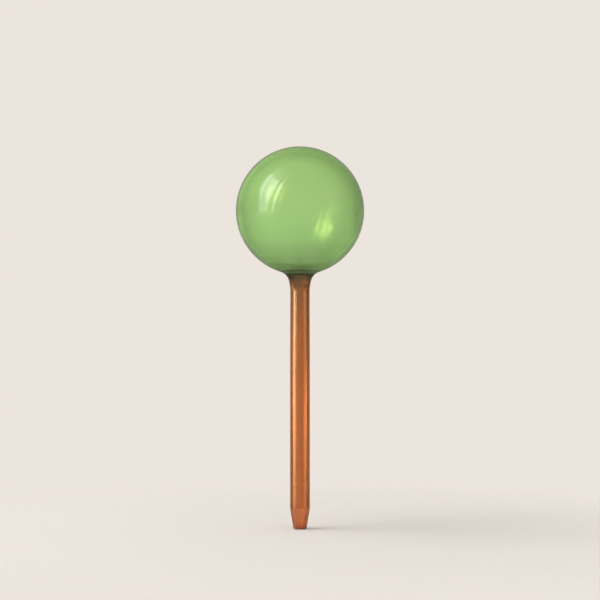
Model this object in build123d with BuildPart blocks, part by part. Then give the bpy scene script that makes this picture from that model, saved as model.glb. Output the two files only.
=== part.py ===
from build123d import *
from math import atan2, degrees, hypot, sqrt
import os

os.makedirs("parts", exist_ok=True)

# A blown glass watering globe: a green bulb fused to an amber stem that is pushed into the soil.
# The object is turned about +Z. Zero is the open end of the tip, and lengths are in millimetres.

# Whole object
overall_height = 246.4

# Globe: a thin blown ball, a little thicker at the crown than beside the neck
globe_diameter = 82.8
globe_wall = 2.2
cavity_drop = 0.4

# Neck: the stem flares like a trumpet and meets the globe in a round crease
flare_drop = 11.1
flare_radius = 28.0
crease_radius = 8.0
neck_wall = 1.8
seam_share = 0.5

# Stem: a drawn tube with a very slight waist under the flare
stem_diameter = 12.7
stem_bore = 9.3
waist_diameter = 12.44
waist_length = 42.5

# Tip: the tube is drawn down to a smaller mouth with a fire-polished lip
tip_diameter = 8.5
taper_length = 12.4
shoulder_radius = 25.0
mouth_bore = 5.8
mouth_land = 3.0
bore_taper_length = 10.0
lip_radius = 0.5

# Radii and heights that follow from the sizes above
globe_radius = globe_diameter / 2
globe_height = overall_height - globe_radius
cavity_radius = globe_radius - globe_wall
cavity_height = globe_height - cavity_drop
stem_radius = stem_diameter / 2
bore_radius = stem_bore / 2
waist_radius = waist_diameter / 2
tip_radius = tip_diameter / 2
mouth_radius = mouth_bore / 2
flare_height = globe_height - globe_radius - flare_drop
waist_height = flare_height - waist_length
bore_taper_height = mouth_land + bore_taper_length

# The inside of the flare shares the outside's centre, and the inside of the crease is a wall larger
flare_centre = (waist_radius + flare_radius, flare_height)
inner_flare_radius = flare_centre[0] - bore_radius
inner_crease_radius = crease_radius + neck_wall


def crease_centre(ball_radius, ball_height, trumpet_radius, round_radius):
    """Centre of the round that touches the ball from outside and the flare's circle from inside."""
    to_ball = ball_radius + round_radius
    to_flare = trumpet_radius - round_radius
    across = flare_centre[0]
    down = ball_height - flare_centre[1]
    apart = hypot(across, down)
    along = (to_ball**2 - to_flare**2 + apart**2) / (2 * apart)
    aside = sqrt(to_ball**2 - along**2)
    x = (along * across - aside * down) / apart
    drop = (along * down + aside * across) / apart
    return (x, ball_height - drop)


def direction(start, end):
    """Angle in degrees of the line from one point of the profile to another."""
    return degrees(atan2(end[1] - start[1], end[0] - start[0]))


# Outer and inner rounds of the crease, with the angles where each meets the flare and the ball
outer_centre = crease_centre(globe_radius, globe_height, flare_radius, crease_radius)
outer_flare_angle = direction(flare_centre, outer_centre)
outer_globe_angle = direction(outer_centre, (0, globe_height))
inner_centre = crease_centre(cavity_radius, cavity_height, inner_flare_radius, inner_crease_radius)
inner_flare_angle = direction(flare_centre, inner_centre)
inner_globe_angle = direction(inner_centre, (0, cavity_height))

# The two pieces of glass meet part way round the crease, on a cone square to the wall
seam_angle = outer_flare_angle + seam_share * (outer_globe_angle - outer_flare_angle)

# Stem: tube, waist, flare and the lower half of the crease
with BuildPart() as stem:
    with BuildSketch(Plane.XZ) as stem_profile:
        with BuildLine():
            lip = Line((mouth_radius, 0), (tip_radius, 0))
            taper = Line(lip @ 1, (stem_radius, taper_length))
            shank = Line(taper @ 1, (stem_radius, waist_height))
            waist = Spline(shank @ 1, (waist_radius, flare_height), tangents=((0, 1), (0, 1)))
            flare = CenterArc(flare_centre, flare_radius, 180, outer_flare_angle - 180)
            crease = CenterArc(
                outer_centre, crease_radius, outer_flare_angle, seam_angle - outer_flare_angle
            )
            inner_crease = CenterArc(
                inner_centre, inner_crease_radius, seam_angle, inner_flare_angle - seam_angle
            )
            seam = Line(crease @ 1, inner_crease @ 0)
            inner_flare = CenterArc(
                flare_centre, inner_flare_radius, inner_flare_angle, 180 - inner_flare_angle
            )
            bore = Line(inner_flare @ 1, (bore_radius, bore_taper_height))
            bore_taper = Line(bore @ 1, (mouth_radius, mouth_land))
            land = Line(bore_taper @ 1, lip @ 0)
        make_face()
        shoulder = stem_profile.vertices().sort_by_distance((stem_radius, taper_length))[0]
        fillet(shoulder, shoulder_radius)
        lip_corners = stem_profile.vertices().group_by(Axis.Y)[0]
        fillet(lip_corners, lip_radius)
    revolve(axis=Axis.Z)

# Globe: the upper half of the crease and the ball, closed at the crown
with BuildPart() as globe:
    with BuildSketch(Plane.XZ):
        with BuildLine():
            crease = CenterArc(
                outer_centre, crease_radius, seam_angle, outer_globe_angle - seam_angle
            )
            ball = CenterArc(
                (0, globe_height), globe_radius, outer_globe_angle - 180, 270 - outer_globe_angle
            )
            cavity = CenterArc(
                (0, cavity_height), cavity_radius, 90, inner_globe_angle - 270
            )
            crown = Line(ball @ 1, cavity @ 0)
            inner_crease = CenterArc(
                inner_centre, inner_crease_radius, inner_globe_angle, seam_angle - inner_globe_angle
            )
            seam = Line(inner_crease @ 1, crease @ 0)
        make_face()
    revolve(axis=Axis.Z)

print("globe glass, cubic millimetres:", round(globe.part.volume))
print("stem glass, cubic millimetres:", round(stem.part.volume))

globe.part.label = "globe"
export_step(globe.part, "parts/globe.step")

stem.part.label = "stem"
export_step(stem.part, "parts/stem.step")
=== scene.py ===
# %% [markdown]
# A watering globe, blown in glass
#
# The real thing is lampworked: a green glass ball is blown, an amber glass tube is drawn down to a
# small mouth at one end and flared like a trumpet at the other, and the two are fused in the flame.
# Water fills the ball, and the stem is pushed into a flower pot. So there are two pieces of glass
# and nothing else. Everything that makes the object look real is in how light goes through those
# walls, which is why they are modelled as walls here, with an inside and an outside, and not as
# two solid shapes with a see-through paint.

# %% Load the frame
import bmesh
import bpy
from math import atan2, ceil, cos, degrees, hypot, log, pi, radians, sin, sqrt
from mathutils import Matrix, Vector


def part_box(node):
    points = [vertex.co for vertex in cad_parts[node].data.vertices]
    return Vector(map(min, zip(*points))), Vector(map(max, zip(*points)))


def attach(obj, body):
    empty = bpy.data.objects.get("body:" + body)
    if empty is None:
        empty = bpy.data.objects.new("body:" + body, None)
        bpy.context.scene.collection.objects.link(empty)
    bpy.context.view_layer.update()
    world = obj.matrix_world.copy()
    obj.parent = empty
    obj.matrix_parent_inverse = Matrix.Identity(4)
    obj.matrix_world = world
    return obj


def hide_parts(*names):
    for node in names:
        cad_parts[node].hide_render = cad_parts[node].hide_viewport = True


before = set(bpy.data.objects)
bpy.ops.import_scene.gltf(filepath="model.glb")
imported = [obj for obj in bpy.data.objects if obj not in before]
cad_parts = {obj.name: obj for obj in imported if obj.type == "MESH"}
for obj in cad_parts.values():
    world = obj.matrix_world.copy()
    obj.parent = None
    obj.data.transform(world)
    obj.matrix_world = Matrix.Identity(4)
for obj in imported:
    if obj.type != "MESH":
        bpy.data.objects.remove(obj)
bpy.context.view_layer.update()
print("nodes in the frame:", sorted(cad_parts))

# %% [markdown]
# Sizes
#
# Blender works in metres and glass is easier to think of in millimetres, so one name turns one
# into the other. The overall sizes come from the frame, so that the looks can never be another
# size than the part. What the frame's boxes don't tell, such as the thickness of a wall, is named.

# %% Read the sizes of the two pieces
MM = 0.001

globe_low, globe_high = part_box("globe")
stem_low, stem_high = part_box("stem")
top_height = globe_high.z
globe_radius = round(globe_high.x - globe_low.x, 4) / 2
globe_height = top_height - globe_radius

globe_wall = 2.2 * MM
cavity_drop = 0.4 * MM
cavity_radius = globe_radius - globe_wall
cavity_height = globe_height - cavity_drop

flare_drop = 11.1 * MM
flare_radius = 28.0 * MM
crease_radius = 8.0 * MM
neck_wall = 1.8 * MM
flare_height = globe_height - globe_radius - flare_drop

stem_radius = 6.35 * MM
waist_radius = 6.22 * MM
waist_length = 42.5 * MM
bore_radius = 4.65 * MM

tip_radius = 4.25 * MM
taper_length = 12.4 * MM
shoulder_radius = 25.0 * MM
mouth_radius = 2.9 * MM
mouth_land = 3.0 * MM
bore_taper_length = 10.0 * MM
lip_radius = 0.5 * MM
stem_length = stem_high.z - stem_low.z
print("globe radius in millimetres:", round(globe_radius / MM, 2))
print("stem length in millimetres:", round(stem_length / MM, 2))

# %% [markdown]
# The outline of a turned thing
#
# Both pieces are round about one axis, so each needs only half of its cross-section: a closed
# line that goes up the outside of the wall and comes back down the inside. A glassblower's shapes
# are arcs that run into each other without a corner, because molten glass rounds itself off. One
# small function gives points on an arc, and another joins such runs into one line.

# %% Points on arcs
ROUGH_STEP = 1.5 * MM
FLARE_STEP = 0.7 * MM
FINE_STEP = 0.5 * MM
FEWEST_STEPS = 6
SAME_POINT = 0.001 * MM


def arc(centre, radius, start, end, step=ROUGH_STEP):
    """Points of an arc from one angle to another, in degrees, about one step apart."""
    count = max(FEWEST_STEPS, ceil(radius * abs(radians(end - start)) / step))
    turns = [radians(start + (end - start) * i / count) for i in range(count + 1)]
    return [(centre[0] + radius * cos(t), centre[1] + radius * sin(t)) for t in turns]


def direction(start, end):
    """Angle in degrees of the line from one point to another."""
    return degrees(atan2(end[1] - start[1], end[0] - start[0]))


def joined(*runs):
    """One line out of several runs, without the points that two of them share."""
    points = []
    for x, z in [point for run in runs for point in run]:
        if not points or hypot(x - points[-1][0], z - points[-1][1]) > SAME_POINT:
            points.append((x, z))
    return points


# %% [markdown]
# The crease between stem and globe
#
# Where the flare meets the ball the two are joined by a round crease. Its circle touches the ball
# from outside and the flare's circle from inside, so its centre is where two circles cross. The
# inside of the wall is found the same way, from the same centres, with the wall taken off.

# %% Find the centres of the crease
flare_centre = (waist_radius + flare_radius, flare_height)


def crease_centre(ball_radius, ball_height, trumpet_radius, round_radius):
    """Centre of the round that touches the ball from outside and the flare from inside."""
    to_ball = ball_radius + round_radius
    to_flare = trumpet_radius - round_radius
    across, down = flare_centre[0], ball_height - flare_centre[1]
    apart = hypot(across, down)
    along = (to_ball**2 - to_flare**2 + apart**2) / (2 * apart)
    aside = sqrt(to_ball**2 - along**2)
    x = (along * across - aside * down) / apart
    return x, ball_height - (along * down + aside * across) / apart


inner_flare_radius = flare_centre[0] - bore_radius
inner_crease_radius = crease_radius + neck_wall
outer_centre = crease_centre(globe_radius, globe_height, flare_radius, crease_radius)
inner_centre = crease_centre(cavity_radius, cavity_height, inner_flare_radius, inner_crease_radius)
outer_flare_angle = direction(flare_centre, outer_centre)
outer_globe_angle = direction(outer_centre, (0, globe_height))
inner_flare_angle = direction(flare_centre, inner_centre)
inner_globe_angle = direction(inner_centre, (0, cavity_height))
seam_angle = (outer_flare_angle + outer_globe_angle) / 2
seam_height = outer_centre[1] + crease_radius * sin(radians(seam_angle))
print("the colours meet at a height in millimetres of", round(seam_height / MM, 2))

# %% [markdown]
# The outline of the globe
#
# The green glass runs from the middle of the crease up over the crown and back inside. Between
# its seam and the seam of the amber glass a gap far thinner than a hair is left, so that no ray of
# light ever has to choose between two faces in one place.

# %% Draw the outline of the globe
SEAM_GAP = 0.02 * MM


def lifted(points, height):
    """The same points, moved up."""
    return [(x, z + height) for x, z in points]


globe_outside = joined(
    lifted(arc(outer_centre, crease_radius, seam_angle, outer_globe_angle, FINE_STEP), SEAM_GAP),
    arc((0, globe_height), globe_radius, outer_globe_angle - 180, 90),
)
inner_crease = arc(inner_centre, inner_crease_radius, inner_globe_angle, seam_angle, FINE_STEP)
globe_inside = joined(
    arc((0, cavity_height), cavity_radius, 90, inner_globe_angle - 180),
    lifted(inner_crease, SEAM_GAP),
)
print("points on the globe's outside and inside:", len(globe_outside), len(globe_inside))

# %% [markdown]
# The outline of the stem
#
# The amber glass runs from its lip up the stem and the flare to the seam, and back down the bore
# to the mouth. The tip is a straight taper with a soft shoulder above it, and a small lip that the
# flame has rounded. Further up the tube is a hair narrower than below, as a drawn tube is, before
# it flares.

# %% Draw the outline of the stem
taper_turn = direction((tip_radius, 0), (stem_radius, taper_length))
shoulder_reach = shoulder_radius * sin(radians(90 - taper_turn)) / (1 + sin(radians(taper_turn)))
shoulder_centre = (stem_radius - shoulder_radius, taper_length + shoulder_reach)
half_turn = radians((90 - taper_turn) / 2)
lip_overhang = lip_radius / cos(half_turn) * sin(half_turn)
lip_centre = (tip_radius - lip_radius + lip_overhang, lip_radius)


def drawn_in(start, end, count=20):
    """The tube goes from one width to another in a soft S, upright at both ends."""
    shares = [i / count for i in range(count + 1)]
    widths = [start[0] + (end[0] - start[0]) * (3 * s**2 - 2 * s**3) for s in shares]
    return [(w, start[1] + (end[1] - start[1]) * s) for w, s in zip(widths, shares)]


stem_outside = joined(
    arc((mouth_radius + lip_radius, lip_radius), lip_radius, 180, 270),
    arc(lip_centre, lip_radius, 270, 270 + taper_turn),
    arc(shoulder_centre, shoulder_radius, taper_turn - 90, 0, FINE_STEP),
    drawn_in((stem_radius, flare_height - waist_length), (waist_radius, flare_height)),
    arc(flare_centre, flare_radius, 180, outer_flare_angle, FLARE_STEP),
    arc(outer_centre, crease_radius, outer_flare_angle, seam_angle, FINE_STEP),
)
stem_inside = joined(
    arc(inner_centre, inner_crease_radius, seam_angle, inner_flare_angle, FINE_STEP),
    arc(flare_centre, inner_flare_radius, inner_flare_angle, 180, FLARE_STEP),
    [(bore_radius, mouth_land + bore_taper_length), (mouth_radius, mouth_land)],
)
print("points on the stem's outside and inside:", len(stem_outside), len(stem_inside))

# %% [markdown]
# Maths on sockets
#
# Both the lathe and the glass are made of nodes, and most of those nodes are plain arithmetic.
# Wrapping a socket in a small class lets Python's own operators add the Math nodes, so that a
# pattern reads like the formula that it is. Each operator has its reflected form too, for a number
# in front of a socket, as in 1 - mask. Any other node comes from one method that is told the
# node's type, its settings and what goes into its sockets.

# %% A socket that Python can do sums with
class Socket:
    """A socket of a node tree. Sums on it add Math nodes to the tree."""

    def __init__(self, tree, end=None):
        self.tree = tree
        self.end = end

    def node(self, kind, settings=None, sockets=None, output=0):
        """Adds a node: its type, its settings, then the values or links of its sockets."""
        made = self.tree.nodes.new(kind)
        for name, value in (settings or {}).items():
            if name == "stops":
                set_stops(made.color_ramp, value)
            else:
                setattr(made, name, value)
        for name, value in (sockets or {}).items():
            if isinstance(value, Socket):
                self.tree.links.new(value.end, made.inputs[name])
            else:
                made.inputs[name].default_value = value
        return Socket(self.tree, made.outputs[output] if made.outputs else None)

    def other(self, output):
        """Another output of the node that this socket belongs to."""
        return Socket(self.tree, self.end.node.outputs[output])

    def math(self, operation, *values):
        """Adds one Math node: its operation and the values that go into it."""
        return self.node("ShaderNodeMath", {"operation": operation}, dict(enumerate(values)))

    def __add__(self, value):
        return self.math("ADD", self, value)

    def __radd__(self, value):
        return self.math("ADD", value, self)

    def __sub__(self, value):
        return self.math("SUBTRACT", self, value)

    def __rsub__(self, value):
        return self.math("SUBTRACT", value, self)

    def __mul__(self, value):
        return self.math("MULTIPLY", self, value)

    def __rmul__(self, value):
        return self.math("MULTIPLY", value, self)

    def __truediv__(self, value):
        return self.math("DIVIDE", self, value)

    def __rtruediv__(self, value):
        return self.math("DIVIDE", value, self)

    def __mod__(self, value):
        return self.math("MODULO", self, value)

    def __rmod__(self, value):
        return self.math("MODULO", value, self)

    def between(self, low, high, first=0.0, last=1.0):
        """Goes smoothly from first to last while this value goes from low to high."""
        sockets = {0: self, 1: low, 2: high, 3: first, 4: last}
        return self.node("ShaderNodeMapRange", {"interpolation_type": "SMOOTHSTEP"}, sockets)


def set_stops(ramp, stops):
    """Gives a colour ramp its stops: a place from 0 to 1 and a colour each."""
    while len(ramp.elements) > 1:
        ramp.elements.remove(ramp.elements[-1])
    for number, (place, colour) in enumerate(stops):
        element = ramp.elements[0] if number == 0 else ramp.elements.new(place)
        element.position = place
        element.color = (*colour, 1)


print("methods of a socket:", sorted(name for name in vars(Socket) if name[0] != "_"))

# %% [markdown]
# A lathe made of nodes
#
# Spinning the outline round the axis could be done with the Screw modifier. A node tree is used
# here because it can do three more things on the way: it draws the wall in by a hair's breadth
# where the blower's breath left it uneven, it leaves out the empty sliver between the two
# walls at the crown, and it knows which faces belong to the seam. It makes a flat grid with a
# column of faces for each piece of the outline, and then rolls the grid up.

# %% Give the lathe its inputs
def add_input(tree, name, kind, value=None):
    """Adds a named input to a tree and returns its identifier."""
    made = tree.interface.new_socket(name, in_out="INPUT", socket_type=kind)
    if value is not None:
        made.default_value = value
    return made.identifier


lathe = bpy.data.node_groups.new("lathe", "GeometryNodeTree")
lathe.interface.new_socket("Glass piece", in_out="OUTPUT", socket_type="NodeSocketGeometry")
inputs = {
    "outline": add_input(lathe, "Outline", "NodeSocketGeometry"),
    "steps": add_input(lathe, "Steps round", "NodeSocketInt", 96),
    "seam_column": add_input(lathe, "Seam column", "NodeSocketInt", 0),
    "unevenness": add_input(lathe, "Unevenness", "NodeSocketFloat", 0.002),
    "wave": add_input(lathe, "Waves per metre", "NodeSocketFloat", 25.0),
    "seed": add_input(lathe, "Seed", "NodeSocketFloat", 0.0),
    "glass": add_input(lathe, "Glass", "NodeSocketMaterial"),
    "seam": add_input(lathe, "Seam", "NodeSocketMaterial"),
}
print("inputs of the lathe:", list(inputs))

# %% [markdown]
# What each point and face knows
#
# The grid is flat at first, with its points numbered column by column. A face in the seam's column
# is marked, so that it can get another material, and each point is told whether its place in the
# outline is inside the wall.

# %% Lay out the grid and mark it
start = Socket(lathe).node("NodeGroupInput")
outline, steps = start.other("Outline"), start.other("Steps round")
count = start.node(
    "GeometryNodeAttributeDomainSize", {"component": "MESH"}, {"Geometry": outline}, "Point Count"
)
grid = start.node(
    "GeometryNodeMeshGrid", {}, {"Vertices X": count + 1, "Vertices Y": steps + 1}, "Mesh"
)
index = start.node("GeometryNodeInputIndex")
seam_faces = index.math("FLOOR", index / steps)
on_seam = seam_faces.math("COMPARE", seam_faces, start.other("Seam column"), 0.5)
marked = start.node(
    "GeometryNodeStoreNamedAttribute",
    {"data_type": "FLOAT", "domain": "FACE"},
    {"Geometry": grid, "Name": "seam", "Value": on_seam},
)
column = index.math("FLOOR", index / (steps + 1))
row = index - column * (steps + 1)
position = start.node("GeometryNodeInputPosition")
place = start.node(
    "GeometryNodeSampleIndex",
    {"data_type": "FLOAT_VECTOR", "domain": "POINT"},
    {"Geometry": outline, "Value": position, "Index": column % count},
)
is_inner = start.node(
    "GeometryNodeInputNamedAttribute", {"data_type": "FLOAT"}, {"Name": "inner"}, "Attribute"
)
inner_here = start.node(
    "GeometryNodeSampleIndex",
    {"data_type": "FLOAT", "domain": "POINT"},
    {"Geometry": outline, "Value": is_inner, "Index": column % count},
)
told = start.node(
    "GeometryNodeStoreNamedAttribute",
    {"data_type": "FLOAT", "domain": "POINT"},
    {"Geometry": marked, "Name": "inner", "Value": inner_here},
)
print("nodes in the lathe so far:", len(lathe.nodes))

# %% [markdown]
# Rolling up
#
# A point's row gives its angle round the axis, and its place in the outline gives its distance
# from the axis and its height. Noise then draws it in a little, but never out, so the glass stays
# inside the size that it was given.

# %% Roll up the grid
parts = start.node("ShaderNodeSeparateXYZ", {}, {0: place})
across, up = parts.other("X"), parts.other("Z")
angle = row / steps * (-2 * pi)
along_x = across * angle.math("COSINE", angle)
along_y = across * angle.math("SINE", angle)
rolled = start.node("ShaderNodeCombineXYZ", {}, {"X": along_x, "Y": along_y, "Z": up})
wave_sockets = {
    "Vector": rolled,
    "W": start.other("Seed"),
    "Scale": start.other("Waves per metre"),
    "Detail": 1.0,
}
uneven = start.node("ShaderNodeTexNoise", {"noise_dimensions": "4D"}, wave_sockets)
narrowed = 1 - uneven * start.other("Unevenness")
shrunk = start.node("ShaderNodeCombineXYZ", {}, {"X": narrowed, "Y": narrowed, "Z": 1.0})
final = start.node("ShaderNodeVectorMath", {"operation": "MULTIPLY"}, {0: rolled, 1: shrunk})
turned = start.node("GeometryNodeSetPosition", {}, {"Geometry": told, "Position": final})
print("nodes in the lathe so far:", len(lathe.nodes))

# %% [markdown]
# Closing the surface
#
# Rolled up, the grid still has a slit where its first and last columns meet, and a face without
# any area at the crown. Faces like that are deleted, and points in one place are merged, so that
# each wall is one closed skin. The cut face at the seam is left flat, because smoothing over its
# corner would bend the light in the glass beside it.

# %% Close the surface and give it its materials
NO_AREA = 1e-12
SAME_PLACE = 1e-6

area = start.node("GeometryNodeInputMeshFaceArea")
less = {"operation": "LESS_THAN"}
no_area = start.node("FunctionNodeCompare", less, {"A": area, "B": NO_AREA})
whole = start.node(
    "GeometryNodeDeleteGeometry", {"domain": "FACE"}, {"Geometry": turned, "Selection": no_area}
)
closed = start.node(
    "GeometryNodeMergeByDistance", {}, {"Geometry": whole, "Distance": SAME_PLACE}
)
at_seam = start.node(
    "GeometryNodeInputNamedAttribute", {"data_type": "FLOAT"}, {"Name": "seam"}, "Attribute"
)
more = {"operation": "GREATER_THAN"}
is_seam = start.node("FunctionNodeCompare", more, {"A": at_seam, "B": 0.5})
is_wall = start.node("FunctionNodeBooleanMath", {"operation": "NOT"}, {0: is_seam})
smooth = start.node(
    "GeometryNodeSetShadeSmooth", {}, {"Geometry": closed, "Shade Smooth": is_wall}
)
real = start.node("GeometryNodeRealizeInstances", {}, {"Geometry": smooth})
walls = start.node(
    "GeometryNodeSetMaterial", {}, {"Geometry": real, "Material": start.other("Glass")}
)
finished = start.node(
    "GeometryNodeSetMaterial",
    {},
    {"Geometry": walls, "Selection": is_seam, "Material": start.other("Seam")},
)
start.node("NodeGroupOutput", {}, {0: finished})
print("nodes in the lathe:", len(lathe.nodes))

# %% [markdown]
# Where the colour of the glass sits
#
# Such globes are blown from clear glass with a thin layer of coloured glass on the outside. If the
# colour were spread through the whole wall, the rim would look pale, because light that runs along
# inside the wall would keep half of the wall's way, and the thick neck would look black. So most
# of the colour is a tint that light takes on each time it crosses the outer skin, and a small rest
# is a Volume Absorption in the wall. Both follow from one measure that can be read off any piece
# of glass held to a window: what share of white light is left after the front and the back wall.
# Shares multiply, so they are split by powers, and a volume takes the same share in each
# millimetre, so its density is a logarithm.

# %% Split the colour between the skin and the wall
SKIN_SHARE = 0.85
GREEN_LEFT = (0.47, 0.80, 0.30)
AMBER_LEFT = (0.63, 0.215, 0.078)
HEADROOM = 1.02


def split(left, skin_share):
    """Parts what two walls let through into a tint for the outer skin and a rest for the wall."""
    skin = [share**skin_share for share in left]
    rest = [share ** (1 - skin_share) for share in left]
    return skin, rest


def absorption(left, thickness):
    """Colour and density of an absorbing volume that leaves these shares after that thickness."""
    taken = [-log(share) / thickness for share in left]
    density = max(taken) * HEADROOM
    return [1 - value / density for value in taken] + [1], density


green_skin, green_rest = split(GREEN_LEFT, SKIN_SHARE)
amber_skin, amber_rest = split(AMBER_LEFT, SKIN_SHARE)
green_colour, green_density = absorption(green_rest, 2 * globe_wall)
amber_colour, amber_density = absorption(amber_rest, 2 * (stem_radius - bore_radius))
print("green skin:", [round(share, 2) for share in green_skin])
print("amber skin:", [round(share, 2) for share in amber_skin])

# %% [markdown]
# The neck goes dark
#
# Where the two glasses were fused, each has run a little into the other, and green over amber
# lets hardly any light through. From there both colours clear again within a few centimetres. The
# stops are heights in millimetres above the tip, each with the share of the colour that is left.
# Red goes first in the amber and blue last, which is what makes the top of the stem look olive. A
# share above 1 makes the lower stem a little paler than the rest of it.
#
# The inside of the wall has fades of its own. In the throat it is darkest, and it reaches less far
# to the sides than the outside does, so it shows as a dark soft dome in the middle of the neck.

# %% Set the fades
seam_mm = seam_height / MM
green_fade = [
    (seam_mm, (0.26, 0.27, 0.38)),
    (seam_mm + 1.7, (0.58, 0.56, 0.62)),
    (seam_mm + 3, (0.90, 0.89, 0.89)),
    (seam_mm + 5, (0.76, 0.78, 0.74)),
    (seam_mm + 9, (0.56, 0.59, 0.56)),
    (seam_mm + 16, (0.65, 0.69, 0.68)),
    (seam_mm + 23, (0.80, 0.86, 0.82)),
    (seam_mm + 36, (0.94, 0.97, 0.95)),
    (seam_mm + 55, (1.0, 1.0, 1.0)),
    (seam_mm + 83, (1.0, 1.0, 1.0)),
]
amber_fade = [
    (0, (0.55, 0.45, 0.45)),
    (1.6, (0.98, 0.72, 0.78)),
    (9, (1.1, 0.8, 0.85)),
    (18, (1.2, 1.12, 1.1)),
    (45, (1.05, 1.0, 1.0)),
    (seam_mm - 38, (1.0, 1.0, 1.0)),
    (seam_mm - 23, (0.81, 0.89, 1.0)),
    (seam_mm - 10, (0.70, 0.83, 1.0)),
    (seam_mm - 4.5, (0.55, 0.82, 1.0)),
    (seam_mm - 1, (0.21, 0.47, 0.8)),
    (seam_mm + 2, (0.22, 0.50, 0.9)),
]
throat_fade = [
    (seam_mm, (0.50, 0.48, 0.54)),
    (seam_mm + 2, (0.56, 0.54, 0.60)),
    (seam_mm + 5, (0.70, 0.70, 0.70)),
    (seam_mm + 9, (0.87, 0.88, 0.87)),
    (seam_mm + 14, (1.0, 1.0, 1.0)),
]
bore_fade = [
    (0, (1.0, 1.0, 1.0)),
    (seam_mm - 12, (1.0, 1.0, 1.0)),
    (seam_mm - 7, (0.94, 0.91, 0.94)),
    (seam_mm - 3, (0.99, 0.94, 1.0)),
    (seam_mm, (1.0, 0.97, 1.0)),
]
print("stops outside:", len(green_fade), "and", len(amber_fade))
print("stops inside:", len(throat_fade), "and", len(bore_fade))

# %% [markdown]
# From a list of stops to a colour
#
# A Color Ramp node holds such a list, and blends evenly from one stop to the next. It runs from 0
# to 1, so the height is first turned into the share of the way from the lowest stop to the
# highest. The shares are multiplied with the skin's colour here, so the ramp gives the finished
# tint.

# %% Fade a colour by height
def faded(graph, height, skin, stops):
    """The colour of the skin by height. Each stop is a height in millimetres and a share."""
    low, high = stops[0][0], stops[-1][0]
    places = []
    for stop_height, share in stops:
        colour = [a * b for a, b in zip(share, skin)]
        places.append(((stop_height - low) / (high - low), colour))
    share_of_way = (height / MM - low) / (high - low)
    return graph.node("ShaderNodeValToRGB", {"stops": places}, {"Fac": share_of_way})


at_seal = [round(a * b, 2) for a, b in zip(amber_fade[-1][1], amber_skin)]
print("the amber tint at the seal:", at_seal)

# %% [markdown]
# Patterns of hand-worked glass
#
# Hand-worked glass isn't quite even. Long faint ridges called cords run along the way the glass
# was drawn, so their noise is stretched along the height. A cloudy noise makes the colour a little
# stronger in some places. Both noises have a fourth number as their seed, so that each piece gets
# patterns of its own.

# %% Start a material and its patterns
CORDS_PER_METRE = 260.0
CORD_STRETCH = 0.04
CLOUDS_PER_METRE = 55.0


def new_material(name):
    """An empty material and a socket to start its nodes from."""
    material = bpy.data.materials.new(name)
    material.use_nodes = True
    material.node_tree.nodes.clear()
    return material, Socket(material.node_tree)


def patterns(graph, position, seed):
    """Two noises: cords along the way the glass was drawn, and clouds."""
    stretch = {0: position, 1: (1, 1, CORD_STRETCH)}
    drawn_out = graph.node("ShaderNodeVectorMath", {"operation": "MULTIPLY"}, stretch)
    noises = []
    for place, scale in ((drawn_out, CORDS_PER_METRE), (position, CLOUDS_PER_METRE)):
        sockets = {"Vector": place, "W": seed, "Scale": scale, "Detail": 2.0}
        noises.append(graph.node("ShaderNodeTexNoise", {"noise_dimensions": "4D"}, sockets))
    return noises


print("a cord is longer than it is wide by a factor of", round(1 / CORD_STRETCH))

# %% [markdown]
# The tint by height and by side
#
# The lathe has told every point whether it is inside. The outside takes its skin's colour, faded by
# height and a little uneven, and the inside takes only its own fade, which is clear glass except
# near the seal.

# %% Tint the skin
WHITE = (1, 1, 1)
PALEST_CLOUD, DARKEST_CLOUD = 1.0, 0.97


def skin_tint(graph, height, inner, clouds, skin, fade, inner_fade):
    """The tint that light takes on where it crosses the outside or the inside of the wall."""
    darker = faded(graph, height, skin, fade)
    patchy = clouds.between(0.3, 0.7, DARKEST_CLOUD, PALEST_CLOUD)
    darken = {"data_type": "RGBA", "blend_type": "MULTIPLY"}
    uneven_skin = graph.node("ShaderNodeMix", darken, {0: 1.0, 6: darker, 7: patchy}, 2)
    inside = faded(graph, height, WHITE, inner_fade)
    by_side = {0: inner, 6: uneven_skin, 7: inside}
    return graph.node("ShaderNodeMix", {"data_type": "RGBA"}, by_side, 2)


print("the clouds take away a share of at most", round(PALEST_CLOUD - DARKEST_CLOUD, 2))

# %% [markdown]
# How smooth the glass is
#
# The flame polished the outside, and the inside stayed rougher. Round the seal both are less
# smooth, because the glass was heated twice and is thick there. The inside of the stem gets duller
# towards the tip, where the tube was drawn down.

# %% Set how smooth the glass is
ROUGH_INSIDE = 0.14
ROUGH_TIP = 0.26
ROUGH_SEAL = 0.4
ROUGH_CORDS = 0.02


def roughness(height, inner, cords):
    """The roughness of the glass by height and by side."""
    below = height.between(seam_height - 10 * MM, seam_height)
    above = height.between(seam_height + 4 * MM, seam_height + 9 * MM, 1, 0)
    drawn_tip = height.between(10 * MM, 45 * MM, ROUGH_TIP, 0)
    rough = inner * (drawn_tip + ROUGH_INSIDE) + below * above * ROUGH_SEAL
    return rough + cords.between(0.4, 0.7, 0, ROUGH_CORDS)


print("roughness inside, and inside the tip:", ROUGH_INSIDE, ROUGH_INSIDE + ROUGH_TIP)

# %% [markdown]
# One recipe for both glasses
#
# The body is clear glass with its tint on the skin, and the rest of the colour is in its volume.
# The stem also has a copper lustre: a metal film so thin that most light goes through. It is mixed
# in as a quarter of a metal, under a glossy coat, and turns the reflections on the stem golden,
# while those on the globe stay white.

# %% Build a glass
GLASS_IOR = 1.47
CORD_RELIEF = 0.08
COPPER = (1.0, 0.72, 0.32)
COPPER_SHARE = 0.23
COAT_PER_LUSTRE = 1.6


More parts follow.
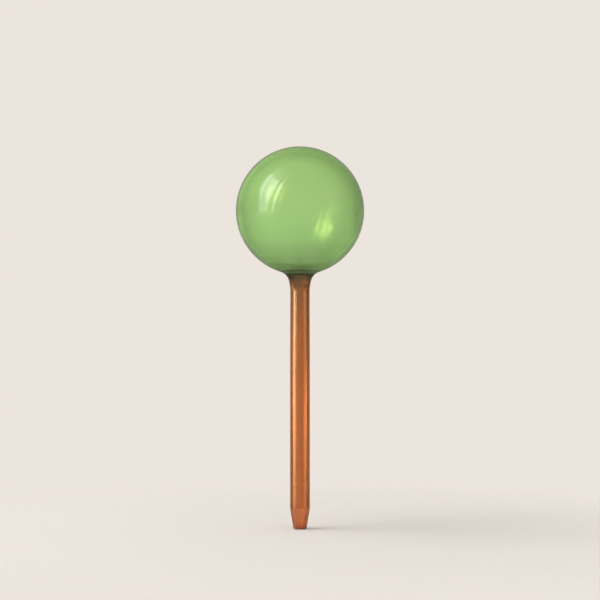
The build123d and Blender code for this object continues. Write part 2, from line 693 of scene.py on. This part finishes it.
def glass(name, skin, colour, density, fade, inner_fade, lustre, seed):
    """Clear glass with a coloured skin, a rest of colour in the wall, and a lustre."""
    material, graph = new_material(name)
    position = graph.node("ShaderNodeTexCoord", {}, {}, "Object")
    height = graph.node("ShaderNodeSeparateXYZ", {}, {0: position}).other("Z")
    inner = graph.node("ShaderNodeAttribute", {"attribute_name": "inner"}, {}, "Fac")
    outer = 1 - inner
    cords, clouds = patterns(graph, position, seed)
    relief_sockets = {"Strength": CORD_RELIEF, "Distance": 0.2 * MM, "Height": cords}
    relief = graph.node("ShaderNodeBump", {}, relief_sockets)
    body_sockets = {
        "Base Color": skin_tint(graph, height, inner, clouds, skin, fade, inner_fade),
        "Roughness": roughness(height, inner, cords),
        "IOR": GLASS_IOR,
        "Transmission Weight": 1.0,
        "Normal": relief,
    }
    if lustre:
        body_sockets["Coat Weight"] = outer * (lustre * COAT_PER_LUSTRE)
        body_sockets["Coat Roughness"] = 0.05
        body_sockets["Coat IOR"] = 1.6
    surface = graph.node("ShaderNodeBsdfPrincipled", {}, body_sockets)
    if lustre:
        copper_sockets = {
            "Base Color": (*COPPER, 1),
            "Metallic": 1.0,
            "Roughness": 0.12,
            "Normal": relief,
        }
        copper = graph.node("ShaderNodeBsdfPrincipled", {}, copper_sockets)
        layers = {0: outer * lustre, 1: surface, 2: copper}
        surface = graph.node("ShaderNodeMixShader", {}, layers)
    volume = graph.node("ShaderNodeVolumeAbsorption", {}, {"Color": colour, "Density": density})
    graph.node("ShaderNodeOutputMaterial", {}, {"Surface": surface, "Volume": volume})
    return material


green = (green_skin, green_colour, green_density, green_fade, throat_fade)
amber = (amber_skin, amber_colour, amber_density, amber_fade, bore_fade)
green_glass = glass("leaf_green_glass", *green, lustre=0.0, seed=3.0)
amber_glass = glass("copper_amber_glass", *amber, lustre=COPPER_SHARE, seed=11.0)
for made in (green_glass, amber_glass):
    print(made.name, "nodes:", len(made.node_tree.nodes))

# %% [markdown]
# The fused face
#
# At the seam the two glasses touch, and in the real thing there is no surface there at all: light
# goes straight on from one into the other. Only a see-through face is needed to close each piece,
# with the same volume behind it as in the rest of that piece.

# %% Build the finish of the seam
def seam_finish(name, colour, density):
    """A face that light passes straight through."""
    material, graph = new_material(name)
    sockets = {"Base Color": colour, "IOR": GLASS_IOR, "Transmission Weight": 1.0, "Alpha": 0.0}
    surface = graph.node("ShaderNodeBsdfPrincipled", {}, sockets)
    volume = graph.node("ShaderNodeVolumeAbsorption", {}, {"Color": colour, "Density": density})
    graph.node("ShaderNodeOutputMaterial", {}, {"Surface": surface, "Volume": volume})
    return material


green_seam = seam_finish("leaf_green_seam", green_colour, green_density)
amber_seam = seam_finish("copper_amber_seam", amber_colour, amber_density)
print("finishes:", [m.name for m in (green_glass, amber_glass, green_seam, amber_seam)])

# %% [markdown]
# Turning the two pieces
#
# Each outline becomes a line mesh that knows which of its points are inside, and goes through the
# lathe. The result is kept as a plain mesh. The seam's column comes last in the globe, which ends
# at the seam, and in the middle in the stem, whose outside ends there. The globe gets more steps
# round than the stem, because it is wider and its edge is seen against the light.

# %% Turn the globe and the stem
GLOBE_STEPS = 192
STEM_STEPS = 128


def add(name, data):
    """Puts an object with this data into the scene."""
    made = bpy.data.objects.new(name, data)
    bpy.context.scene.collection.objects.link(made)
    return made


def turn(name, outside, inside, settings):
    """Spins an outline on the lathe and returns a plain mesh object."""
    mesh = bpy.data.meshes.new(name + "_outline")
    corners = [(x, 0, z) for x, z in outside + inside]
    mesh.from_pydata(corners, [(i, i + 1) for i in range(len(corners) - 1)], [])
    inner = mesh.attributes.new("inner", "FLOAT", "POINT")
    inner.data.foreach_set("value", [0.0] * len(outside) + [1.0] * len(inside))
    blank = add(name + "_blank", mesh)
    modifier = blank.modifiers.new("lathe", "NODES")
    modifier.node_group = lathe
    for key, value in settings.items():
        modifier[inputs[key]] = value
    depsgraph = bpy.context.evaluated_depsgraph_get()
    result = bpy.data.meshes.new_from_object(blank.evaluated_get(depsgraph))
    result.name = name
    piece = add(name, result)
    bpy.data.objects.remove(blank)
    return piece


globe_settings = {
    "steps": GLOBE_STEPS,
    "seam_column": len(globe_outside + globe_inside) - 1,
    "glass": green_glass,
    "seam": green_seam,
}
stem_settings = {
    "steps": STEM_STEPS,
    "seam_column": len(stem_outside) - 1,
    "seed": 7.0,
    "glass": amber_glass,
    "seam": amber_seam,
}
globe = turn("glass_globe", globe_outside, globe_inside, globe_settings)
stem = turn("glass_stem", stem_outside, stem_inside, stem_settings)
for piece in (globe, stem):
    print(piece.name, "points:", len(piece.data.vertices))

# %% [markdown]
# A look at the meshes
#
# A volume only absorbs what it should if its mesh is closed and its faces look outwards. Both show
# in two numbers: the signed volume is above zero, and no edge has other than two faces.

# %% Measure the pieces
def volume_of(piece):
    """Volume of a closed mesh in cubic millimetres, and the number of its open edges."""
    shell = bmesh.new()
    shell.from_mesh(piece.data)
    volume = shell.calc_volume(signed=True) / MM**3
    open_edges = sum(not edge.is_manifold for edge in shell.edges)
    shell.free()
    return round(volume), open_edges


for piece in (globe, stem):
    volume, open_edges = volume_of(piece)
    print(piece.name, "cubic millimetres:", volume, "open edges:", open_edges)

# %% [markdown]
# Handing over
#
# Nothing moves, so both pieces ride the one body. Each takes the place of its CAD node, which is
# hidden.

# %% Hand the pieces to the frame
for piece, node in ((globe, "globe"), (stem, "stem")):
    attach(piece, "root")
    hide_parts(node)
print("pieces handed over:", globe.name, "and", stem.name)

# %% [markdown]
# The studio
#
# Glass has no look of its own: it shows what is behind it and mirrors what is around it. So the
# studio is built as a world, in directions as they are seen from the object. Two angles are used
# for the lights: how far to the left a direction is from the camera's, and how far up. For the
# backdrop it is simpler to use the direction's own x, y and z.
#
# The camera sees a plain backdrop. What the glass shows of it is a little different, as it would
# be in a real studio, where the backdrop is brightest in the middle and falls off to its sides,
# and where the dark room begins beside it.

# %% Measure directions
BACKDROP = (0.839, 0.783, 0.723)

world = bpy.data.worlds.new("studio")
bpy.context.scene.world = world
world.use_nodes = True
world.node_tree.nodes.clear()
sky = Socket(world.node_tree)
ray = sky.node("ShaderNodeLightPath")
look = sky.node("ShaderNodeTexCoord", {}, {}, "Generated")
axes = sky.node("ShaderNodeSeparateXYZ", {}, {0: look})
x, y, z = axes.other("X"), axes.other("Y"), axes.other("Z")
leftward = sky.math("ARCTAN2", x * -1.0, y * -1.0) * (180 / pi)
upward = sky.math("ARCSINE", z) * (180 / pi)


def curve(value, stops):
    """A level that follows a value through stops, each a value and a level."""
    low, high = stops[0][0], stops[-1][0]
    places = [((at - low) / (high - low), (level,) * 3) for at, level in stops]
    share_of_way = (value - low) / (high - low)
    return value.node("ShaderNodeValToRGB", {"stops": places}, {"Fac": share_of_way})


print("the backdrop's colour:", BACKDROP)

# %% [markdown]
# The window and its mullion
#
# The bright patch at the upper left of the globe is a tall light with a dark bar in it: a broad
# panel, a gap and a narrow strip. A ball mirrors nearly the whole room, so an upright edge of the
# light leans as it climbs, and the edges are written as angles in degrees that depend on the
# height. The light is weaker below, strongest at two thirds of its height, and ends in a faint
# band. Fine streaks run up it, as on real panes.
#
# The same light falls on the rounded back of the globe from inside, where it makes the softer patch
# at the lower right, and along the stem it draws the golden line. The light is a function, because
# that patch sits nearer to the middle, and is yellower, than the wall of this model makes it, so
# rays from inside the glass get a light of their own.

# %% Hang the window
WINDOW_STRENGTH = 5.3
WINDOW_MIDDLE = 60
PANEL_RIGHT, PANEL_LEFT = 58.5, 74.0
STRIP_RIGHT, STRIP_LEFT = 46.0, 53.0
STREAK_WIDTH, STREAK_HEIGHT = 1.7, 60.0

climb_stops = [
    (-9, 0),
    (-6, 0.25),
    (-4, 0.18),
    (-2.4, 0.42),
    (-1, 0.66),
    (12, 0.62),
    (22, 1.0),
    (40, 1.2),
    (46, 1.1),
    (50, 0.4),
    (56, 0.25),
    (62, 0.15),
    (72, 0),
]


def window(leftward, upward):
    """The level of the tall light in a direction."""
    panel_right = PANEL_RIGHT - upward * 0.19
    panel_left = PANEL_LEFT + upward.between(5, 40, 0, 12) + upward.between(-5, -2, 7, 0)
    panel = leftward.between(panel_right - 0.5, panel_right + 2.5)
    panel = panel * leftward.between(panel_left, panel_left + 9, 1, 0)
    strip_right = STRIP_RIGHT - upward * 0.2
    strip_left = STRIP_LEFT - upward * 0.17
    strip = leftward.between(strip_right - 1, strip_right + 2)
    strip = strip * leftward.between(strip_left - 1.5, strip_left, 1, 0)
    slant = (WINDOW_MIDDLE - leftward) * upward.between(-2, 3, 0, 0.18)
    climb = curve(upward + slant, climb_stops)
    cells = {"X": leftward / STREAK_WIDTH, "Y": upward / STREAK_HEIGHT}
    place = sky.node("ShaderNodeCombineXYZ", {}, cells)
    streaks = sky.node("ShaderNodeTexNoise", {}, {"Vector": place, "Scale": 1.0, "Detail": 2.0})
    return (panel + strip) * climb * streaks.between(0.35, 0.65, 0.5, 1.3) * WINDOW_STRENGTH


print("heights in the window, in degrees:", [height for height, level in climb_stops])

# %% [markdown]
# The warm fill
#
# A weak warm light stands on the other side, as a pale wall would in a room, so that the right
# sides of the stem and the globe mirror something too. It is far weaker than the window.

# %% Hang the fill
fill_side = leftward.between(-85, -70) * leftward.between(-56, -40, 1, 0)
fill_stops = [
    (-9, 0),
    (-6, 0.8),
    (-4, 0.15),
    (-2.4, 0.35),
    (-1, 0.95),
    (1, 0.72),
    (5, 0.72),
    (50, 0),
]
fill = fill_side * curve(upward, fill_stops)
print("heights in the fill, in degrees:", [height for height, level in fill_stops])

# %% [markdown]
# The backdrop seen through the glass
#
# A wall of glass bends light outwards, the more so the nearer to the rim, so the rim shows what
# stands far to the side. That is why a glass ball before a pale backdrop has a dark rim. The
# backdrop's level falls off with the spread, the distance from its middle. It falls off deeper to
# the right, away from the window, and less at the top, at the upper and the lower left, and just
# left of the middle. Below the middle the spread counts for less, because the floor carries the
# light on. The numbers are parts of a direction that is 1 long, so 0.1 is about six degrees.

# %% Shade the backdrop
EYE_LEVEL = 0.048

left, right, down = x * -1, x, z * -1
over = z - EYE_LEVEL
rise = z.math("MAXIMUM", over, over * 0.4)
spread = z.math("SQRT", x * x + rise * rise)
aside = x.math("ABSOLUTE", x)
only_left = left.math("MAXIMUM", left, 0)

behind = 1.0 - spread.between(0.07, 0.2, 0, 0.43) - spread.between(0.2, 0.36, 0, 0.12)
behind = behind - right.between(0.0, 0.12, 0, 0.25) * over.between(0.0, 0.1, 1, 0.1)
top = over.between(0.07, 0.1) * over.between(0.13, 0.19, 1, 0) * aside.between(0.03, 0.09, 1, 0)
upper_left = (only_left * over).between(0.002, 0.009) * spread.between(0.16, 0.24, 1, 0.2)
lower_left = (only_left * (EYE_LEVEL - z)).between(0.0, 0.006)
foot = down.between(0.04, 0.11) * aside.between(0.06, 0.16, 1, 0)
beyond = aside.between(0.6, 0.7)
near_left = left.between(0.003, 0.018) * spread.between(0.06, 0.14, 1, 0)
near_left = near_left * over.between(-0.02, 0.02, 1, 0)
behind = behind + top * 0.1 + upper_left * 0.25 + lower_left * 0.12
behind = behind + near_left * 0.14 + foot * 0.16 + beyond * 0.6
print("nodes in the world so far:", len(world.node_tree.nodes))

# %% [markdown]
# The glows beside the stem
#
# Beside the stem there are two glows, one to each side, and below them two narrower ones, nearer
# to the middle. A thin tube bends light so strongly that they show as bright lines on it, while
# on the globe they fall into the last hair's breadth of the rim.

# %% Add the glows
stem_band = z.math("ABSOLUTE", z).between(0.12, 0.22, 1, 0) * z.between(-0.02, 0.04, 1, 0.2)
lowest = down.between(0.065, 0.11)
level_left = 3.2 + lowest * 4.6
level_right = z.between(-0.045, -0.022, 0.0, 1.5) + lowest * 4.9
glow_left = left.between(0.29, 0.4) * left.between(0.84, 0.96, 1, 0) * level_left
glow_right = right.between(0.3, 0.38) * right.between(0.5, 0.65, 1, 0) * level_right
foot_left = left.between(0.09, 0.16) * left.between(0.26, 0.36, 1, 0)
foot_left = foot_left * down.between(0.085, 0.11)
foot_right = right.between(0.07, 0.16) * right.between(0.3, 0.38, 1, 0) * lowest
glows = glow_left + glow_right + foot_left * 2.1 + foot_right * 2.2
behind = behind + stem_band * glows
print("nodes in the world so far:", len(world.node_tree.nodes))

# %% [markdown]
# The room seen from inside the wall
#
# At the very edge light can't leave the wall: it is mirrored inside it and comes out somewhere
# else. Those rays see the room around rather than the backdrop. The room's left side is lighter
# than its right, and the floor and the ceiling are lighter than the walls.

# %% Shade the room
tilt_stops = [(-0.4, 0), (-0.2, 0), (-0.11, 0.6), (0, 0.6), (0.05, 0.5), (0.2, 0.9), (0.4, 0.9)]
tilt = curve(z, tilt_stops)
around = y.between(0.1, 0.5, 0.55, 0.78) * (1 - x * tilt)
around = around * (1.0 + z.between(0, 0.4, 0, 0.3) + down.between(0, 0.4, 0, 0.4))
around = around * curve(z, [(-0.2, 1), (-0.1, 1.2), (0, 1.2), (0.04, 1), (0.2, 1)])
mirrored_back = y.between(0.6, 0.9, 0.0, 0.3)
print("nodes in the world so far:", len(world.node_tree.nodes))

# %% [markdown]
# Who sees what
#
# The world answers each kind of ray by itself. The camera sees the plain backdrop. A mirrored ray
# sees the lights in a dark room. A ray that has gone through the glass sees the backdrop, or the
# room if it was mirrored on its way, which its Glossy Depth tells by being 1 or more. Everything
# else, such as the light that falls on the floor, comes from an even room at a plain level.
#
# The light for rays from inside has two parts. Low down it is white, as it is outside, and along
# the stem it draws the golden line. Higher up it is yellow, and it makes the patch on the globe.

# %% Put the world together
def background(colour, strength):
    """Light of one colour from all around."""
    return sky.node("ShaderNodeBackground", {}, {"Color": (*colour, 1), "Strength": strength})


def either(factor, first, second):
    """The first light where the factor is 0 and the second where it is 1."""
    return sky.node("ShaderNodeMixShader", {}, {0: factor, 1: first, 2: second})


def both(first, second):
    """Two lights on top of each other."""
    return sky.node("ShaderNodeAddShader", {}, {0: first, 1: second})


WARM = (1.0, 0.74, 0.45)
YELLOWISH = (1.0, 0.74, 0.42)
NARROWER = 1.2
EVEN_ROOM = 0.7
DARK_ROOM = 0.05

patch_stops = [(0, 0), (4, 0), (9, 1.2), (17, 2.1), (28, 2.4), (37, 1.8), (46, 0.7), (60, 0.2)]
room = background(WHITE, EVEN_ROOM)
warm_fill = background(WARM, fill)
lights = both(background(WHITE, window(leftward, upward) + DARK_ROOM), warm_fill)
window_inside = window(leftward * NARROWER, upward)
low_part = background(WHITE, window_inside * upward.between(4, 10, 1, 0) + DARK_ROOM)
high_part = background(YELLOWISH, window_inside * curve(upward, patch_stops))
lights_inside = both(both(low_part, high_part), warm_fill)
mirrored = both(lights, background(BACKDROP, mirrored_back))
inside = both(lights_inside, background(BACKDROP, around))
through = background(BACKDROP, behind)
plain = background(BACKDROP, 1.0)

was_mirrored = ray.other("Glossy Depth").between(0.4, 0.6)
through_glass = either(was_mirrored, through, inside)
bounced = either(ray.other("Is Glossy Ray"), room, mirrored)
bounced = either(ray.other("Is Transmission Ray"), bounced, through_glass)
everything = either(ray.other("Is Camera Ray"), bounced, plain)
sky.node("ShaderNodeOutputWorld", {}, {"Surface": everything})
print("nodes in the world:", len(world.node_tree.nodes))

# %% [markdown]
# The floor
#
# A disc of matt paper in the backdrop's colour lies under the tip and keeps the object's shadow.
# Towards its edge it fades away into the backdrop, so there is no horizon. Rays that have gone
# through the glass don't see it, because behind the lower stem the backdrop has to go on with its
# glows. Mirrored rays see only its middle, and darker than the camera sees it: a painted shade on
# what the glass mirrors of the floor.

# %% Lay the floor
FLOOR_STEPS = 96
FLOOR_RINGS = (0.04, 0.08, 0.14, 0.22, 0.36)
FLOOR_DROP = 0.2 * MM

turns = [2 * pi * step / FLOOR_STEPS for step in range(FLOOR_STEPS)]
corners = [(0, 0, 0)]
for ring in FLOOR_RINGS:
    corners += [(ring * cos(t), ring * sin(t), 0) for t in turns]
faces = [(0, 1 + i, 1 + (i + 1) % FLOOR_STEPS) for i in range(FLOOR_STEPS)]
for ring in range(len(FLOOR_RINGS) - 1):
    near = 1 + ring * FLOOR_STEPS
    far = near + FLOOR_STEPS
    for i in range(FLOOR_STEPS):
        j = (i + 1) % FLOOR_STEPS
        faces.append((near + i, far + i, far + j, near + j))
floor_mesh = bpy.data.meshes.new("floor")
floor_mesh.from_pydata(corners, [], faces)
floor = add("floor", floor_mesh)
floor.location.z = -FLOOR_DROP
print("faces in the floor:", len(floor_mesh.polygons))

# %% [markdown]
# The paper
#
# The fade at the edge is in the paper's Alpha, and so is which kind of ray sees it. For mirrored
# rays its colour is darker, a painted shade. The fibres are a very fine noise, which keeps the
# paper from looking like plastic.

# %% Give the floor its finish
MIRROR_SHADE_SHARE = 0.4
GRAINS_PER_METRE = 900.0
FADE_FROM, FADE_TO = 0.12, 0.34
MIRRORED_FROM, MIRRORED_TO = 0.05, 0.12

floor_finish, paper = new_material("matt_paper")
spot = paper.node("ShaderNodeTexCoord", {}, {}, "Object")
reach = paper.node("ShaderNodeVectorMath", {"operation": "LENGTH"}, {0: spot}, "Value")
grain_sockets = {"Vector": spot, "Scale": GRAINS_PER_METRE, "Detail": 3.0}
grain = paper.node("ShaderNodeTexNoise", {}, grain_sockets)
fibre_sockets = {"Strength": 0.1, "Distance": 0.1 * MM, "Height": grain}
fibres = paper.node("ShaderNodeBump", {}, fibre_sockets)
kinds = paper.node("ShaderNodeLightPath")
direct = 1 - kinds.other("Is Transmission Ray")
in_mirror = kinds.other("Is Glossy Ray") * direct
# Painted shade: mirrored rays see the paper at this share of the backdrop's colour.
painted_mirror_shade = (*[share * MIRROR_SHADE_SHARE for share in BACKDROP], 1)
colours = {0: in_mirror, 6: (*BACKDROP, 1), 7: painted_mirror_shade}
faded_out = in_mirror * reach.between(MIRRORED_FROM, MIRRORED_TO)
shown = reach.between(FADE_FROM, FADE_TO, 1, 0) * direct * (1 - faded_out)
paper_sockets = {
    "Base Color": paper.node("ShaderNodeMix", {"data_type": "RGBA"}, colours, 2),
    "Roughness": 0.9,
    "Specular IOR Level": 0.1,
    "Alpha": shown,
    "Normal": fibres,
}
paper_surface = paper.node("ShaderNodeBsdfPrincipled", {}, paper_sockets)
paper.node("ShaderNodeOutputMaterial", {}, {"Surface": paper_surface})
floor_mesh.materials.append(floor_finish)
print("nodes in the paper:", len(floor_finish.node_tree.nodes))

# %% [markdown]
# The key light
#
# One large soft lamp stands for the window where it falls on the floor. With the even room it
# brings the floor up to the level at which a colour renders as it is written. The glass mirrors
# the window of the world instead of this lamp, so that nothing is mirrored twice.

# %% Hang the key light
KEY_POWER = 9.4
KEY_SIZE = (0.9, 1.2)
KEY_PLACE = (-0.8, -0.1, 1.3)
KEY_TARGET = Vector((0, 0, 0.1))

key_lamp = bpy.data.lights.new("key", "AREA")
key_lamp.shape = "RECTANGLE"
key_lamp.size, key_lamp.size_y = KEY_SIZE
key_lamp.energy = KEY_POWER
key = add("key", key_lamp)
key.location = KEY_PLACE
key.rotation_euler = (KEY_TARGET - key.location).to_track_quat("-Z", "Y").to_euler()
key.visible_glossy = False
key.visible_transmission = False
print("the key light's distance in metres:", round(key.location.length, 2))

# %% [markdown]
# The camera
#
# The photo looks straight at the object from far away, a little above the middle of its height,
# with almost no perspective. The view is as wide as the photo is at the scale that was found.

# %% Set up the camera
VIEW_WIDTH = 0.3871
CAMERA_DISTANCE = 1.2
CAMERA_HEIGHT = 0.1474

lens = bpy.data.cameras.new("camera")
lens.sensor_width = 36
lens.lens = lens.sensor_width * CAMERA_DISTANCE / VIEW_WIDTH
camera = add("camera", lens)
camera.location = (0, -CAMERA_DISTANCE, CAMERA_HEIGHT)
camera.rotation_euler = (pi / 2, 0, 0)
bpy.context.scene.camera = camera
bpy.context.scene.view_settings.view_transform = "Standard"
print("focal length in millimetres:", round(lens.lens, 1))

# %% [markdown]
# The size
#
# The glass has to stay inside the box of the CAD part.
